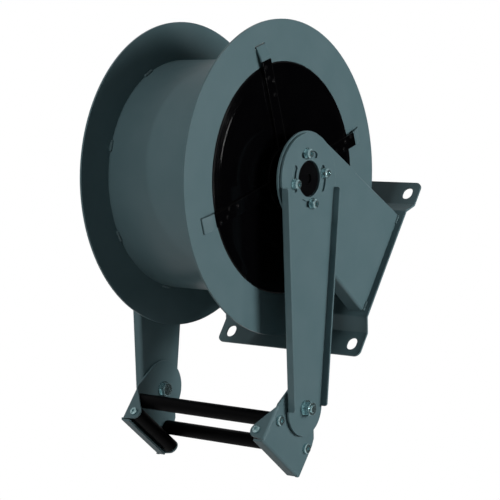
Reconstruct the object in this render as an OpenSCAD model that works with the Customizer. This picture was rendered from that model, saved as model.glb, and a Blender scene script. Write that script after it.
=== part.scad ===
// Wall-mounted hose reel with a spring-driven drum and a swinging roller guide.
// Millimetres. X runs along the axle, +Y points to the wall, +Z is up along the base plate.
// The origin is the middle of the four wall slots, on the wall plane y = 0.

/* [Drum] */
// Outer radius of the two drum flanges
flange_r = 230; // [224:1:236]
// Width of the drum over the outsides of both flanges
drum_w = 192; // [188:1:194]
// Thickness of the flange sheet
flange_t = 3; // [2.5:0.5:3.5]
// Outer radius of the barrel the hose winds on
barrel_r = 173; // [170:1:175]
// Wall thickness of the barrel
barrel_t = 2; // [1.5:0.5:2.5]
// Length by which the far end of the barrel stands out of its flange
barrel_proud = 7; // [6.5:0.5:7.5]
// Width by which the near flange laps over the end of the barrel
flange_lap = 3.7; // [3:0.1:4.5]
// Distance of the drum's middle from the middle of the base plate
drum_shift = 9; // [8.5:0.5:9.5]
// Direction of the first spoke, degrees from the wall side
spoke_turn = 52.3; // [45:0.1:60]
// Width of each spoke bar
spoke_w = 20; // [16:1:21]
// Thickness of each spoke bar
spoke_t = 4; // [3.5:0.5:4.5]
// Length of each spoke bar beyond the barrel
spoke_over = 5; // [4:0.5:6]
// Width of each strap from a spoke to the flange
strap_w = 22; // [21:1:24]
// Height of the spring cover over the near flange
cover_proud = 3.5; // [3:0.5:4.5]
// Depth of the spring cover
cover_d = 38; // [34:1:42]
// Width of the sloped border of the spring cover
cover_slope = 14; // [10:1:18]
// Tack welds round each flange
weld_count = 8; // [4:1:12]

/* [Axle] */
// Radius of the fixed axle
axle_r = 15; // [14:0.5:16]
// Radius of the water way in the axle
water_r = 8; // [6:0.5:9]
// Radial play of the bushes and the swivel on the axle
running_play = 0.05; // [0.03:0.01:0.09]
// Outer radius of the bushes
bush_r = 20; // [19:0.5:21]
// Minor radius of the half-inch inlet thread
inlet_r = 9.3; // [9:0.1:9.6]
// Length of the inlet thread
inlet_depth = 17; // [14:1:18]

/* [Base] */
// Distance from the wall to the axle
hub_stand = 258; // [256:1:262]
// Thickness of the bent sheet of base plate and cheeks
frame_t = 3; // [2.5:0.5:3]
// Width of the base plate beyond each cheek
plate_over = 10.2; // [9:0.1:12]
// Height of the base plate
plate_h = 310; // [306:1:316]
// Depth by which the plate stands off the wall between its ears
joggle = 15; // [13:1:17]
// Height of each flat ear
ear_h = 40; // [38:1:42]
// Height of each slanted joggle
ramp_h = 20; // [18:1:22]
// Corner radius of the ears
ear_corner_r = 10; // [6:1:14]
// Distance of each wall slot from the edges of the plate
slot_in = 20; // [18:0.5:21]
// Width of a wall slot
slot_w = 17.5; // [14:0.5:18.5]
// Length of a wall slot, end to end
slot_l = 20.5; // [19:0.5:23]
// Space between the ratchet wheel and the far cheek
cheek_gap = 5.8; // [5.4:0.1:6.2]
// Radius of the round end of a cheek
cheek_r = 69; // [66:0.5:72]
// Taper of each cheek edge, degrees
cheek_taper = 4.29; // [3.5:0.01:5]
// Distance from the axle at which a cheek's edge strips start
strip_start = 108; // [104:1:112]
// Width of the near cheek's inward edge strips
near_return = 25.3; // [20:0.1:26]
// Width of the far cheek's inward edge strips
far_return = 12; // [8:0.1:12.5]
// Radius of the round hub opening in cheeks and arms
hub_hole_r = 26.5; // [25.8:0.1:27.5]
// Radius of the circle the four hub screws sit on
screw_pcd_r = 37; // [36.5:0.5:38]
// Radius of the hub clamp flanges
clamp_r = 46; // [45:0.5:50]

/* [Arms] */
// Distance from the axle to the guide pivot
arm_len = 334; // [328:1:340]
// Lean of the arms toward the wall, degrees from straight down
arm_lean = 33.4; // [30:0.1:36]
// Radius of the arm round the axle
arm_hub_r = 66.3; // [63:0.1:70]
// Radius of the arm round the guide pivot
arm_pivot_r = 41; // [38:0.5:43]
// Thickness of the spacer between the near cheek and the near arm
spacer_t = 1.7; // [1.5:0.1:2.1]
// Thickness of the arm sheet
arm_t = 3; // [2.5:0.5:3]
// Depth of the arm channel over its flanges
arm_flange = 13.5; // [11:0.5:15]
// Outside radius of the bends
bend_r = 4.5; // [3.5:0.5:5]
// Width of the four curved adjusting slots
arc_w = 9; // [8.8:0.1:10]
// Swing from the middle of a curved slot to the centre of its end, degrees
arc_half = 24; // [20:1:28]

/* [Roller guide] */
// Tilt of the guide brackets at rest, degrees
guide_lean = 3.6; // [0:0.1:8]
// Thickness of the bracket sheet
bracket_t = 3; // [2.5:0.5:3.5]
// Radius of the bracket round the pivot
lobe_r = 44; // [42:0.5:46]
// Distance from the pivot to the bracket's front fold
front_u = 53.5; // [52:0.5:56]
// Distance from the pivot to the bracket's rear fold
rear_u = 57; // [56.5:0.5:60]
// Distance from the pivot down to the bottom lip
guide_drop = 87; // [86:0.5:92]
// Width of the bottom lip
lip_w = 17; // [12:1:20]
// Outer radius of every roller
roller_r = 11; // [9:0.5:11.5]
// Distance between the two long rollers' axes
roller_gap = 82.5; // [80:0.5:84]
// Shift of the long rollers toward the wall
roller_shift = 3.5; // [2:0.5:4]
// Depth of the long rollers' axes below the pivot
long_drop = 43; // [42:0.5:44]
// Depth of the short rollers' axes below the pivot
short_drop = 69.7; // [69:0.1:70.5]
// Distance of a short roller's axis from the bracket's outside
short_in = 18.5; // [17:0.5:20]
// Radius of the long rods
long_rod_r = 5; // [4.8:0.1:5.5]
// Radius of the short rods
short_rod_r = 4; // [3.8:0.1:4.5]
// Thickness of each pivot washer
washer_t = 2.5; // [2:0.5:3]
// Radius of the pivot bolts
pivot_r = 6; // [5.5:0.5:6]

/* [Ratchet] */
// Tip radius of the ratchet wheel
wheel_r = 60; // [59:0.5:61]
// Depth of a ratchet tooth
tooth_h = 8; // [7:0.5:8]
// Number of ratchet teeth
tooth_count = 24; // [24:4:28]
// Radius of the pawl pin
pawl_pin_r = 4; // [3.5:0.5:4.5]

/* [Hidden] */
$fn = 48;
drum_mid = -drum_shift;
near_face = drum_mid + drum_w / 2;
far_face = drum_mid - drum_w / 2;
near_end = near_face + cover_proud;
far_end = far_face - barrel_proud;
wheel_far = far_end - 5.5;
wheel_t = 4;
barrel_in = barrel_r - barrel_t;
bore_r = barrel_r - flange_lap;
cover_r = bore_r - 0.3;
cover_t = 2;
spoke_r = barrel_r + spoke_over;
strap_t = 2.5;
slot_mid_r = barrel_r + 25.5;
sleeve_r = axle_r + running_play;
hub_sleeve_r = bush_r + 5;
cheek_in = cheek_gap - wheel_far;
cheek_out = cheek_in + frame_t;
plate_w = 2 * (cheek_out + plate_over);
slot_dx = plate_w - 2 * slot_in;
slot_dz = plate_h - 2 * slot_in;
face_y = hub_stand - joggle - frame_t;
cheek_run = face_y + 12;
edge_relief = 0.5;
fold_lift = 0.03;
cheek_edge_r = cheek_r - edge_relief;
cheek_half = (cheek_edge_r + cheek_run * sin(cheek_taper)) / cos(cheek_taper);
arm_taper = asin((arm_hub_r - arm_pivot_r) / arm_len);
arm_in = cheek_out + spacer_t + drum_shift;
near_arm_in = drum_mid + arm_in;
far_arm_in = drum_mid - arm_in;
clamp_t = 8;
thrust_r = 21;
near_thrust = cheek_in - clamp_t - 3.3;
pivot_y = arm_len * sin(arm_lean) - hub_stand;
pivot_z = -arm_len * cos(arm_lean);
bracket_out = arm_in - washer_t;
bracket_in = bracket_out - bracket_t;
short_x = bracket_out - short_in;
front_axis = roller_shift - roller_gap / 2;
rear_axis = roller_shift + roller_gap / 2;
screw_r = 4;
tab_screw_r = 3;
outlet_x = drum_mid - 11;
outlet_turn = 45;
pipe_r = 9;
catch_turn = -12;
pawl_y = wheel_r + 6;
pawl_z = 40;
tail_y = pawl_y + 32;
spring_low = 5.5;
grey = [0.35, 0.42, 0.44];
black = [0.03, 0.03, 0.03];
zinc = [0.75, 0.76, 0.78];
brass = [0.78, 0.62, 0.3];

function unit(v) = v / norm(v);
function polar(r, a) = [r * cos(a), r * sin(a)];
function wrap(a) = a > 180 ? a - 360 : a < -180 ? a + 360 : a;

// Points of an arc of radius r that rounds corner p between neighbours a and b.
function fillet(a, p, b, r, n) = r <= 0 ? [p] :
    let (u = unit(a - p), v = unit(b - p), half = acos(u * v) / 2,
        c = p + unit(u + v) * r / sin(half),
        s = p + u * r / tan(half), e = p + v * r / tan(half),
        a0 = atan2(s[1] - c[1], s[0] - c[0]),
        sweep = wrap(atan2(e[1] - c[1], e[0] - c[0]) - a0))
    [for (i = [0:n]) c + polar(r, a0 + sweep * i / n)];

function rounded(pts, radii, n = 4) = let (m = len(pts))
    [for (i = [0:m - 1]) each fillet(pts[(i + m - 1) % m], pts[i], pts[(i + 1) % m], radii[i], n)];

// Point where the line from p touches the circle of radius r about c.
function tangent(p, c, r, side) = let (d = p - c)
    c + polar(r, atan2(d[1], d[0]) + side * acos(r / norm(d)));

module at_hub() translate([0, -hub_stand, 0]) children();
module at_pivot() translate([0, pivot_y, pivot_z]) rotate([-guide_lean, 0, 0]) children();
module plate_x(x0, t) translate([x0, 0, 0]) rotate([90, 0, 90]) linear_extrude(t) children();
module turned() rotate([90, 0, 90]) rotate_extrude($fn = 96) children();
module drum_side(far) translate([drum_mid, 0, 0]) mirror([far, 0, 0]) children();
module rod_x(x0, x1, r) translate([x0, 0, 0]) rotate([0, 90, 0]) cylinder(r = r, h = x1 - x0);
module hex_x(x0, x1, flats) translate([x0, 0, 0]) rotate([0, 90, 0])
    cylinder(r = flats / sqrt(3), h = x1 - x0, $fn = 6);

module ring_x(x0, x1, r_out, r_in) difference() {
    rod_x(x0, x1, r_out);
    rod_x(x0 - 1, x1 + 1, r_in);
}

// Removes the sharp outside edge of a fold running along +Y; the sheet lies at -X and -Z.
module fold_cut(r, run) translate([-r, 0, -r]) difference() {
    cube([r + 1, run, r + 1]);
    translate([fold_lift, -1, fold_lift]) rotate([-90, 0, 0]) cylinder(r = r, h = run + 2);
}

module at_screws() for (k = [0:3]) rotate([45 + 90 * k, 0, 0]) translate([0, screw_pcd_r, 0]) children();

module slot_shape(w, l) {
    for (s = [-1, 1]) translate([0, s * (l - w) / 2]) circle(d = w);
    square([w, l - w], center = true);
}

module rounded_plate(w, h, r) {
    square([w - 2 * r, h], center = true);
    square([w, h - 2 * r], center = true);
    for (i = [-1, 1], j = [-1, 1]) translate([i * (w / 2 - r), j * (h / 2 - r)]) circle(r = r);
}

// Base

// Side view of the joggled base plate sheet, wall side at y = 0.
module plate_section() {
    top = plate_h / 2;
    knee = top - ear_h;
    lap = frame_t * tan(atan2(joggle, ramp_h) / 2);
    front = [[-frame_t, top], [-frame_t, knee], [-joggle - frame_t, knee - ramp_h],
        [-joggle - frame_t, ramp_h - knee], [-frame_t, -knee], [-frame_t, -top]];
    back = [[0, -top], [0, lap - knee], [-joggle, ramp_h + lap - knee],
        [-joggle, knee - ramp_h - lap], [0, knee - lap], [0, top]];
    polygon(rounded(concat(front, back), [0, 3, 6, 6, 3, 0, 0, 6, 3, 3, 6, 0]));
}

module back_plate() color(grey) difference() {
    intersection() {
        plate_x(-plate_w / 2, plate_w) plate_section();
        translate([0, 1, 0]) rotate([90, 0, 0]) linear_extrude(joggle + frame_t + 2)
            rounded_plate(plate_w, plate_h, ear_corner_r);
    }
    for (i = [-1, 1], j = [-1, 1]) translate([i * slot_dx / 2, 1, j * slot_dz / 2])
        rotate([90, 0, 0]) linear_extrude(frame_t + 2) slot_shape(slot_w, slot_l);
}

module cheek_outline() difference() {
    union() {
        circle(r = cheek_r, $fn = 96);
        polygon([polar(cheek_edge_r, 90 + cheek_taper), [cheek_run, cheek_half],
            [cheek_run, -cheek_half], polar(cheek_edge_r, -90 - cheek_taper)]);
    }
    circle(r = hub_hole_r);
    for (k = [0:3]) translate(polar(screw_pcd_r, 45 + 90 * k)) circle(r = screw_r + 0.25);
}

// One cheek for the +X side; w is the width of the strips folded inward along its edges.
module cheek(w) at_hub() intersection() {
    difference() {
        union() {
            plate_x(cheek_in, frame_t) cheek_outline();
            for (m = [0, 1]) mirror([0, 0, m]) rotate([cheek_taper, 0, 0])
                translate([0, 0, cheek_r - frame_t]) linear_extrude(frame_t)
                    polygon([[cheek_out, strip_start], [cheek_out - frame_t - 1, strip_start],
                        [cheek_out - w, strip_start + 1.5 * w], [cheek_out - w, face_y + 30], [cheek_out, face_y + 30]]);
        }
        for (m = [0, 1]) mirror([0, 0, m]) rotate([cheek_taper, 0, 0])
            translate([cheek_out, strip_start - 1, cheek_r]) fold_cut(bend_r, face_y);
    }
    translate([0, -cheek_r - 1, -face_y]) cube([cheek_out + 1, cheek_r + 1 + face_y, 2 * face_y]);
}

module near_cheek() color(grey) cheek(near_return);
module far_cheek() color(grey) mirror([1, 0, 0]) cheek(far_return);

module cheek_welds() color(grey) for (m = [0, 1], k = [0, 1]) mirror([m, 0, 0]) mirror([0, 0, k])
    translate([cheek_out, -joggle - frame_t, cheek_half - 17]) linear_extrude(14)
        polygon([[0, 0], [3, 0], [1.9, -1.2], [1.2, -1.9], [0, -3]]);

module axle() color(zinc) at_hub() difference() {
    rod_x(far_arm_in - arm_t - 11, cheek_in, axle_r);
    rod_x(far_arm_in - arm_t - 12, outlet_x + 5, water_r);
    translate([outlet_x, 0, 0]) rotate([outlet_turn - 90, 0, 0]) cylinder(r = 4, h = axle_r + 1);
}

module near_axle_flange() color(zinc) at_hub() difference() {
    union() {
        rod_x(cheek_in - clamp_t, cheek_in, clamp_r);
        rod_x(near_thrust + 0.5, cheek_in - clamp_t + 1, thrust_r);
    }
    rod_x(near_thrust, cheek_in + 1, axle_r);
    at_screws() rod_x(cheek_in - clamp_t - 1, cheek_in + 1, screw_r);
}

module far_hub_block() color(zinc) at_hub() difference() {
    union() {
        rod_x(far_arm_in, -cheek_out, clamp_r);
        rod_x(-cheek_out - 1, wheel_far - 1, thrust_r);
    }
    rod_x(far_arm_in - 1, wheel_far, axle_r);
    at_screws() rod_x(far_arm_in - 1, -cheek_out + 1, screw_r);
}

module near_spacer() color(grey) at_hub() difference() {
    ring_x(cheek_out, near_arm_in, clamp_r, hub_hole_r);
    at_screws() rod_x(cheek_out - 1, near_arm_in + 1, screw_r + 0.25);
}

module hub_cap() color(black) at_hub() turned() difference() {
    union() {
        square([hub_hole_r - 0.5, cheek_out + 1]);
        square([hub_hole_r - 2, cheek_out + 2.5]);
    }
    square([hub_hole_r, cheek_in]);
    translate([0, cheek_in + 3]) square([7.5, 9]);
}

module axle_nut() color(zinc) at_hub() difference() {
    hex_x(far_arm_in - arm_t - 10, far_arm_in, 41);
    rod_x(far_arm_in - arm_t - 11, far_arm_in + 1, axle_r);
}

module inlet_fitting() color(brass) at_hub() translate([far_arm_in - arm_t - 11, 0, 0]) difference() {
    union() {
        hex_x(-13, 0, 32);
        rod_x(-inlet_depth - 3, -13, 14.5);
    }
    rod_x(-inlet_depth - 4, -3, inlet_r);
    rod_x(-4, 1, water_r);
}

// Socket head over spring washer; local x = 0 is the sheet it clamps, the shank runs to -x.
module clamp_screw(run) {
    difference() {
        union() {
            rod_x(3.6, 7, 7);
            translate([7, 0, 0]) rotate([0, 90, 0]) cylinder(r1 = 7, r2 = 5, h = 2);
        }
        hex_x(5.5, 10, 5);
    }
    rod_x(-run, 3.6, screw_r);
}

module hub_screws() color(zinc) at_hub() at_screws() {
    translate([near_arm_in + arm_t, 0, 0]) clamp_screw(near_arm_in + arm_t - cheek_in + clamp_t - 1);
    translate([far_arm_in - arm_t, 0, 0]) mirror([1, 0, 0])
        clamp_screw(-cheek_in - far_arm_in + arm_t);
}

module hub_washers() color(zinc) at_hub() at_screws() for (m = [0, 1]) drum_side(m)
    translate([arm_in + arm_t, 0, 0]) {
        ring_x(0, 1.6, 8.4, screw_r);
        ring_x(1.6, 3.6, 7.3, screw_r);
    }

module spring_arbor() color(zinc) at_hub() difference() {
    rod_x(near_end - cover_d - 6, near_end - 4, 2 * axle_r);
    rod_x(near_end - cover_d - 7, near_end - 3, axle_r);
    translate([near_end - cover_d - 7, 2 * axle_r - 6, -2]) cube([cover_d + 4, 8, 4]);
}

module pawl_pins() color(zinc) at_hub() {
    translate([0, pawl_y, pawl_z]) {
        rod_x(-cheek_in, wheel_far + wheel_t + 0.3, pawl_pin_r);
        rod_x(-cheek_in, wheel_far - 0.3, pawl_pin_r + 3);
    }
    translate([0, tail_y - 2, spring_low - 3]) rod_x(-cheek_in, wheel_far + wheel_t, 2.8);
}

// Close-wound tension spring between the anchor pin and the pawl tail.
module pawl_spring() color(zinc) at_hub() {
    coils = 16;
    pitch = (pawl_z - 5 - spring_low) / coils;
    translate([wheel_far + 2, tail_y - 2, spring_low]) rotate_extrude($fn = 20) polygon(concat(
        [for (i = [0:coils - 1], s = [[2.4, 0], [3.2, 0.3], [3.2, 0.7]]) [s[0], (i + s[1]) * pitch]],
        [[2.4, coils * pitch], [1.4, coils * pitch], [1.4, 0]]));
}

// Drum

module barrel() color(grey) at_hub() difference() {
    rotate([0, 0, 0]) translate([far_end, 0, 0]) rotate([0, 90, 0]) difference() {
        cylinder(r = barrel_r, h = near_face - flange_t - far_end, $fn = 120);
        translate([0, 0, -1]) cylinder(r = barrel_in, h = near_face - far_end, $fn = 120);
    }
    translate([outlet_x, 0, 0]) rotate([outlet_turn - 90, 0, 0]) cylinder(r = pipe_r, h = barrel_r + 5);
}

module near_flange() color(grey) at_hub() plate_x(near_face - flange_t, flange_t) difference() {
    circle(r = flange_r, $fn = 120);
    circle(r = bore_r, $fn = 120);
    for (k = [0:3]) rotate(spoke_turn + 90 * k) translate([slot_mid_r, 0]) slot_shape(5, strap_w + 3);
}

module far_flange() color(grey) at_hub() plate_x(far_face, flange_t) difference() {
    circle(r = flange_r, $fn = 120);
    circle(r = barrel_r, $fn = 120);
}

module flange_welds() color(grey) at_hub() for (m = [0, 1], k = [0:weld_count - 1]) drum_side(m)
    rotate([360 / weld_count * k + 16.8, 0, 0]) translate([drum_w / 2 - flange_t, 0, 0]) rotate([90, 0, 90])
        rotate_extrude(angle = 4.5, $fn = 240)
            polygon([[barrel_r, 0], [barrel_r + 4, 0], [barrel_r + 2.6, -1.8],
                [barrel_r + 1.8, -2.6], [barrel_r, -4]]);

// Half section of the cover: flat face at x1 with a sloped border down to the skirt of radius r.
module cover_shape(r, x1) polygon(rounded([[0, 0], [0, x1], [r - cover_slope, x1], [r, x1 - 2.5], [r, 0]],
    [0, 0, 24, 2.5, 0], 5));

module spring_cover() color(black) at_hub() turned() difference() {
    cover_shape(cover_r, near_end);
    square([cover_r + 1, near_end - cover_d]);
    cover_shape(cover_r - cover_t, near_end - cover_t);
    square([hub_sleeve_r + 15, near_end + 1]);
}

module spring_plate() color(grey) at_hub() translate([near_end - cover_d - 10, 0, 0])
    ring_x(0, 2, barrel_in, 2 * axle_r + 3);

module main_spring() color(zinc) at_hub() {
    turns = 8;
    steps = 24 * turns;
    r0 = 2 * axle_r + 4;
    r1 = cover_r - cover_t - 0.3;
    plate_x(near_end - cover_d - 4, cover_d - 2) polygon(concat(
        [for (i = [0:steps]) polar(r0 + (r1 - r0) * i / steps, 15 * i)],
        [for (i = [steps:-1:0]) polar(r0 - 1.2 + (r1 - r0) * i / steps, 15 * i)]));
}

module near_hub() color(black) at_hub() difference() {
    union() {
        rod_x(near_end, near_end + spoke_t, hub_sleeve_r + 23);
        rod_x(near_end - 3, near_thrust, hub_sleeve_r);
    }
    rod_x(near_end - 4, near_thrust + 1, bush_r);
}

module far_hub() color(grey) at_hub() ring_x(wheel_far - 0.5, outlet_x - 20, hub_sleeve_r, bush_r);

module far_spider() color(grey) at_hub() plate_x(far_end + 0.5, 5) difference() {
    circle(r = barrel_in, $fn = 120);
    circle(r = hub_sleeve_r);
    difference() {
        circle(r = barrel_in - 16, $fn = 96);
        circle(r = hub_sleeve_r + 20);
        for (a = [0, 90]) rotate(spoke_turn + a) square([2 * barrel_r, 40], center = true);
    }
}

module hub_bushes() color(brass) at_hub() {
    ring_x(near_end - 3, near_thrust, bush_r, sleeve_r);
    ring_x(wheel_far - 0.5, wheel_far + 24, bush_r, sleeve_r);
    ring_x(outlet_x - 44, outlet_x - 20, bush_r, sleeve_r);
}

// Flat spoke bar k with a rounded outer end, seated on the cover and the hub plate.
module spoke(k) color(black) at_hub() rotate([spoke_turn + 90 * k, 0, 0]) difference() {
    plate_x(near_end, spoke_t) polygon(rounded([[hub_sleeve_r + 10, spoke_w / 2],
        [hub_sleeve_r + 10, -spoke_w / 2], [spoke_r, -spoke_w / 2], [spoke_r, spoke_w / 2]], [0, 0, 1.5, 1.5]));
    rod_x(near_end - 1, near_end + spoke_t + 1, hub_sleeve_r + 23);
}

module spoke_1() spoke(0);
module spoke_2() spoke(1);
module spoke_3() spoke(2);
module spoke_4() spoke(3);

// Bent strap k from the spoke end down through its slot in the near flange.
module strap(k) color(grey) at_hub() rotate([spoke_turn + 90 * k, 0, 0]) translate([0, 0, -strap_w / 2])
    linear_extrude(strap_w) polygon(rounded([[near_end + 3.5, spoke_r], [near_end + 3.5, spoke_r + 5],
        [near_face + 1.5, slot_mid_r + strap_t / 2], [near_face - flange_t - 2, slot_mid_r + strap_t / 2],
        [near_face - flange_t - 2, slot_mid_r - strap_t / 2], [near_face, slot_mid_r - strap_t / 2],
        [near_end + 1, spoke_r + 3], [near_end + 1, spoke_r]], [0, 2, 2, 0, 0, 1, 1, 0], 3));

module strap_1() strap(0);
module strap_2() strap(1);
module strap_3() strap(2);
module strap_4() strap(3);

module spoke_rivets() color(black) at_hub() for (k = [0:3]) rotate([spoke_turn + 90 * k, 0, 0])
    for (p = [[53, -3], [33, -6], [26, 3.5], [10, 6]])
        translate([near_end + spoke_t, spoke_r - p[0], p[1]]) rotate([0, 90, 0])
            cylinder(r1 = 3.4, r2 = 2, h = 1.6, $fn = 20);

module ratchet_wheel() color(zinc) at_hub() plate_x(wheel_far, wheel_t) difference() {
    polygon([for (k = [0:tooth_count - 1], s = [[wheel_r - tooth_h, 0], [wheel_r, 0.97]])
        polar(s[0], catch_turn + 360 / tooth_count * (k + s[1]))]);
    circle(r = hub_sleeve_r);
    for (k = [0:5]) rotate(60 * k) translate([hub_sleeve_r + 12, 0]) circle(r = 6, $fn = 24);
}

module swivel_body() color(brass) at_hub() translate([outlet_x, 0, 0]) difference() {
    rod_x(-20, 20, 28);
    rod_x(-21, 21, sleeve_r);
    rod_x(-6, 6, axle_r + 4);
    for (s = [-1, 1]) translate([s * 13, 0, 0]) rod_x(-1.5, 1.5, axle_r + 3);
    rotate([outlet_turn - 90, 0, 0]) translate([0, 0, axle_r + 2]) cylinder(r = 6.5, h = 20);
    rotate([outlet_turn - 90, 0, 0]) translate([0, 0, 23]) cylinder(r = pipe_r, h = 20);
}

module swivel_seals() color(black) at_hub() translate([outlet_x, 0, 0])
    for (s = [-1, 1]) translate([s * 13, 0, 0]) ring_x(-1.5, 1.5, axle_r + 3, sleeve_r);

module outlet_pipe() color(brass) at_hub() translate([outlet_x, 0, 0]) rotate([outlet_turn - 90, 0, 0])
    translate([0, 0, 23]) difference() {
        cylinder(r = pipe_r, h = barrel_r - 15);
        translate([0, 0, -1]) cylinder(r = 6.5, h = barrel_r - 13);
    }

// Ribbed hose tail outside the barrel; its foot follows the barrel.
module hose_outlet() color(brass) at_hub() difference() {
    translate([outlet_x, 0, 0]) rotate([outlet_turn - 90, 0, 0]) rotate_extrude() polygon(concat(
        [[6.5, barrel_r + 8], [pipe_r, barrel_r + 8], [pipe_r, barrel_r - 2], [15, barrel_r - 2],
            [15, barrel_r + 6], [12, barrel_r + 9], [7.6, barrel_r + 9]],
        [for (i = [0:4], s = [[9, 1], [7.8, 4]]) [s[0], barrel_r + 9 + 4 * i + s[1]]], [[6.5, barrel_r + 30]]));
    rod_x(far_end, near_end, barrel_r);
}

// Swinging arms

module arm_outline() difference() {
    union() {
        circle(r = arm_hub_r, $fn = 96);
        translate([arm_len, 0]) circle(r = arm_pivot_r, $fn = 64);
        polygon([polar(arm_hub_r - edge_relief, 90 - arm_taper), polar(arm_hub_r - edge_relief, arm_taper - 90),
            [arm_len, 0] + polar(arm_pivot_r - edge_relief, arm_taper - 90),
            [arm_len, 0] + polar(arm_pivot_r - edge_relief, 90 - arm_taper)]);
    }
    circle(r = hub_hole_r);
    translate([arm_len, 0]) circle(r = pivot_r + 0.25);
    for (k = [0:3]) rotate(90 * k) {
        intersection() {
            difference() {
                circle(r = screw_pcd_r + arc_w / 2, $fn = 96);
                circle(r = screw_pcd_r - arc_w / 2, $fn = 96);
            }
            polygon([[0, 0], polar(2 * screw_pcd_r, -arc_half), polar(2 * screw_pcd_r, arc_half)]);
        }
        for (s = [-1, 1]) translate(polar(screw_pcd_r, s * arc_half)) circle(d = arc_w - 0.1, $fn = 32);
    }
}

// Arm of the +X side, measured from the drum's middle; its flanges turn away from the drum.
module arm() at_hub() rotate([arm_lean - 90, 0, 0]) difference() {
    run = arm_len - 11;
    union() {
        plate_x(arm_in, arm_t) arm_outline();
        for (m = [0, 1]) mirror([0, 0, m]) rotate([-arm_taper, 0, 0])
            translate([arm_in, 8, arm_hub_r - arm_t]) linear_extrude(arm_t)
                polygon(rounded([[0, 0], [arm_flange, 0], [arm_flange, run], [0, run]], [0, 4, 4, 0]));
    }
    for (m = [0, 1]) mirror([0, 0, m]) rotate([-arm_taper, 0, 0])
        translate([arm_in, 7, arm_hub_r]) mirror([1, 0, 0]) fold_cut(bend_r, run + 1.8);
}

module near_arm() color(grey) drum_side(0) arm();
module far_arm() color(grey) drum_side(1) arm();

module at_both_pivots() for (m = [0, 1]) drum_side(m) at_pivot() children();

module pivot_bolts() color(zinc) at_both_pivots() {
    rod_x(bracket_in - washer_t, arm_in + arm_t + washer_t + 12.5, pivot_r);
    hex_x(bracket_in - washer_t - 7.5, bracket_in - washer_t, 19);
}

module pivot_washers() color(zinc) at_both_pivots() {
    ring_x(bracket_in - washer_t, bracket_in, 12, pivot_r);
    ring_x(bracket_out, arm_in, 12, pivot_r);
    ring_x(arm_in + arm_t, arm_in + arm_t + washer_t, 12, pivot_r);
}

module pivot_nuts() color(zinc) at_both_pivots() difference() {
    hex_x(arm_in + arm_t + washer_t, arm_in + arm_t + washer_t + 10.5, 19);
    rod_x(arm_in, arm_in + 30, pivot_r);
}

// Roller guide; local y runs toward the wall and z up from the pivot.

module bracket_side() difference() {
    union() {
        circle(r = lobe_r, $fn = 64);
        polygon(rounded([tangent([-front_u, -25], [0, 0], lobe_r, -1), [-front_u, -25],
            [-front_u, -guide_drop], [rear_u, -guide_drop], [rear_u, -33], [rear_u - 3, -21],
            [lobe_r - 1, -8]], [0, 6, 0, 5, 6, 5, 0]));
    }
    circle(r = pivot_r + running_play);
    for (y = [front_axis, rear_axis]) translate([y, -long_drop]) circle(r = screw_r + 0.1);
}

// Tab folded inward at x = bracket_out between heights z0 and z1, with an eye for a short rod.
module eye_tab(z0, z1) rotate([90, 0, 0]) linear_extrude(bracket_t) difference() {
    eye = [short_x, -short_drop];
    union() {
        translate(eye) circle(r = roller_r);
        polygon([[bracket_out, z0], tangent([bracket_out, z0], eye, roller_r, 1), eye,
            tangent([bracket_out, z1], eye, roller_r, -1), [bracket_out, z1]]);
    }
    translate(eye) circle(r = tab_screw_r + 0.1);
}

module bracket() at_pivot() difference() {
    foot = 3 - guide_drop;
    union() {
        plate_x(bracket_in, bracket_t) bracket_side();
        translate([0, bracket_t - front_u, 0]) eye_tab(-26, foot);
        translate([0, rear_u, 0]) eye_tab(-50, foot);
        translate([bracket_out - lip_w, -front_u, -guide_drop])
            cube([lip_w, front_u + rear_u - 6, bracket_t]);
    }
    translate([bracket_out, -front_u - 1, -guide_drop]) mirror([0, 0, 1])
        fold_cut(bend_r, front_u + rear_u - 5);
    translate([bracket_out, -front_u, bend_r - guide_drop + 0.5]) rotate([90, 0, 0])
        fold_cut(bend_r, guide_drop - bend_r - 26.5);
}

module near_bracket() color(grey) drum_side(0) bracket();
module far_bracket() color(grey) drum_side(1) bracket();

module at_long_rods() at_pivot() for (y = [front_axis, rear_axis]) translate([0, y, -long_drop]) children();

module long_rods() color(zinc) at_long_rods() translate([drum_mid, 0, 0]) difference() {
    rod_x(-bracket_in, bracket_in, long_rod_r);
    for (m = [0, 1]) mirror([m, 0, 0]) rod_x(bracket_in - 16, bracket_in + 1, screw_r);
}

module at_short_rods() for (m = [0, 1]) drum_side(m) at_pivot()
    translate([short_x, 0, -short_drop]) rotate([-90, 0, 0]) children();

module short_rods() color(zinc) at_short_rods() difference() {
    union() {
        translate([0, 0, bracket_t - front_u]) cylinder(r = short_rod_r, h = front_u + rear_u - 2 * bracket_t);
        cylinder(r = tab_screw_r, h = rear_u + 1);
        translate([0, 0, rear_u]) cylinder(r1 = 5.5, r2 = 4, h = 2, $fn = 24);
    }
    translate([0, 0, -front_u]) cylinder(r = tab_screw_r, h = 15, $fn = 24);
}

// Screw head with a hex socket, standing on z = 0.
module socket_head(r, h, flats) difference() {
    union() {
        cylinder(r = r, h = h - 1.2, $fn = 32);
        translate([0, 0, h - 1.2]) cylinder(r1 = r, r2 = r - 1.2, h = 1.2, $fn = 32);
    }
    translate([0, 0, h - 2.5]) cylinder(r = flats / sqrt(3), h = 3, $fn = 6);
}

module rod_screws() color(zinc) at_long_rods() for (m = [0, 1]) drum_side(m) {
    rod_x(bracket_in - 16, bracket_out + 1, screw_r);
    translate([bracket_out, 0, 0]) rotate([0, 90, 0]) socket_head(7.5, 5, 5);
}

module tab_screws() color(zinc) at_short_rods() translate([0, 0, -front_u]) {
    cylinder(r = tab_screw_r, h = 15, $fn = 24);
    rotate([180, 0, 0]) socket_head(6, 4, 4);
}

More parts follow.
